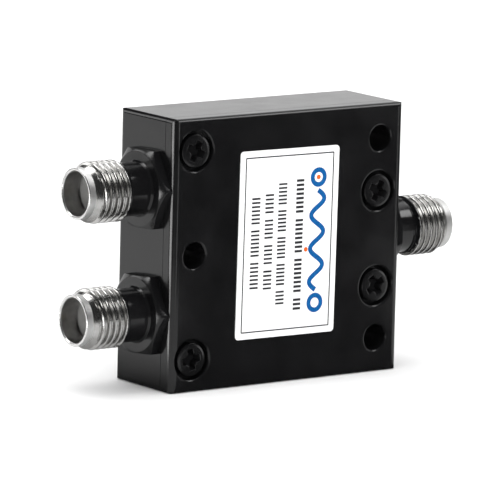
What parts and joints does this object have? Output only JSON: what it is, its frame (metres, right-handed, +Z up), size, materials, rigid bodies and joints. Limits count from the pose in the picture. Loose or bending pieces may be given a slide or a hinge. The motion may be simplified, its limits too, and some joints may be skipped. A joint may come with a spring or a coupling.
{
  "type": "rf power splitter",
  "caption": "Flat painted metal box that divides a radio-frequency signal between its outputs, with threaded coaxial jacks on opposite walls, a screwed cover with a label, and through holes.",
  "frame": {"origin": "on the ground, under the middle of the box", "axes": "+X from the outputs to the input, +Y from the cover to the back, +Z up"},
  "size_m": [0.0464, 0.0101, 0.0282],
  "materials": {
    "black_paint": "semi-gloss black paint on aluminium",
    "screw_black": "black painted steel",
    "label": "white printed sticker, matt",
    "steel": "turned stainless steel, painted black from the wall up to the thread",
    "insulator": "white fluoroplastic, satin",
    "gold": "gold plating, bright",
    "laminate": "cream circuit laminate, matt",
    "trace": "gold-washed copper, satin",
    "copper": "bare copper, satin",
    "resistor": "dark ceramic chip",
    "solder": "tin solder, bright",
    "plated_screw": "nickel-plated steel"
  },
  "bodies": {
    "root": {"housing": "black_paint", "cover_plate": "black_paint", "cover_screws": "screw_black", "label": "label", "circuit_board": "laminate", "circuit_trace": "trace", "ground_foil": "copper", "resistor_first": "resistor", "resistor_middle": "resistor", "resistor_last": "resistor", "solder_joints": "solder", "board_screws": "plated_screw", "output_a_shell": "steel", "output_a_insulator": "insulator", "output_a_contact": "gold", "output_b_shell": "steel", "output_b_insulator": "insulator", "output_b_contact": "gold", "input_shell": "steel", "input_insulator": "insulator", "input_contact": "gold"}
  },
  "joints": []
}
